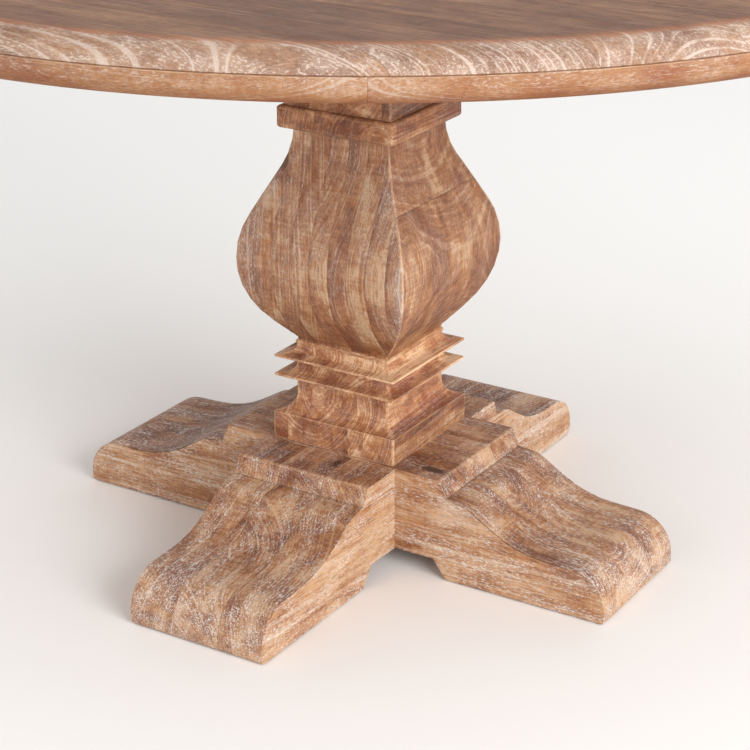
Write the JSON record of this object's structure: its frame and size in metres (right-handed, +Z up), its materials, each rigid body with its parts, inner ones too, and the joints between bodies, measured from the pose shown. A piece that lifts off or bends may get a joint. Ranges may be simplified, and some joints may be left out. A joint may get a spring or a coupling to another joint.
{
  "type": "round pedestal table",
  "caption": "Round planked wooden table with a rounded rim on a square baluster column and a cross of four shaped feet.",
  "frame": {"origin": "on the floor under the middle of the column", "axes": "+Z up through the column; two legs lie along X and two along Y; the boards of the top run along X"},
  "size_m": [1.372, 1.372, 0.762],
  "materials": {
    "top_wood": "planed, limewashed and waxed",
    "rim_wood": "limewashed",
    "column_wood": "limewashed, rubbed edges",
    "base_wood": "limewashed, rubbed edges",
    "frame_wood": "sawn and planed, unfinished",
    "dowel_wood": "turned",
    "zinc_steel": "zinc plated",
    "nylon": "moulded"
  },
  "bodies": {
    "root": {"base_beam_a_board_1": "base_wood", "base_beam_a_board_2": "base_wood", "base_beam_a_board_3": "base_wood", "base_beam_b_board_1": "base_wood", "base_beam_b_board_2": "base_wood", "base_beam_b_board_3": "base_wood", "base_bolt_washers": "zinc_steel", "base_bolts": "zinc_steel", "base_dowels": "dowel_wood", "base_inserts": "zinc_steel", "cap_plate": "frame_wood", "cap_plate_screws": "zinc_steel", "capital_block": "column_wood", "centre_cleat": "frame_wood", "collar": "column_wood", "cross_batten_left": "frame_wood", "cross_batten_right": "frame_wood", "fillet_plate": "column_wood", "foot_glides": "nylon", "lower_flange": "column_wood", "plinth_block": "column_wood", "rim_segment_1": "rim_wood", "rim_segment_2": "rim_wood", "rim_segment_3": "rim_wood", "rim_segment_4": "rim_wood", "rim_segment_5": "rim_wood", "rim_segment_6": "rim_wood", "rim_segment_7": "rim_wood", "rim_segment_8": "rim_wood", "tie_rod": "zinc_steel", "tie_rod_nuts": "zinc_steel", "tie_rod_washers": "zinc_steel", "top_board_01": "top_wood", "top_board_02": "top_wood", "top_board_03": "top_wood", "top_board_04": "top_wood", "top_board_05": "top_wood", "top_board_06": "top_wood", "top_board_07": "top_wood", "top_board_08": "top_wood", "top_board_09": "top_wood", "top_board_10": "top_wood", "top_board_11": "top_wood", "top_board_12": "top_wood", "top_bolt_washers": "zinc_steel", "top_bolts": "zinc_steel", "top_inserts": "zinc_steel", "top_screws": "zinc_steel", "upper_flange": "column_wood", "vase_board_1": "column_wood", "vase_board_2": "column_wood", "vase_board_3": "column_wood", "vase_board_4": "column_wood", "vase_board_5": "column_wood", "vase_board_6": "column_wood", "vase_board_7": "column_wood", "vase_board_8": "column_wood", "vase_board_9": "column_wood", "vase_foot_dowels": "dowel_wood", "vase_top_dowels": "dowel_wood"}
  },
  "joints": []
}
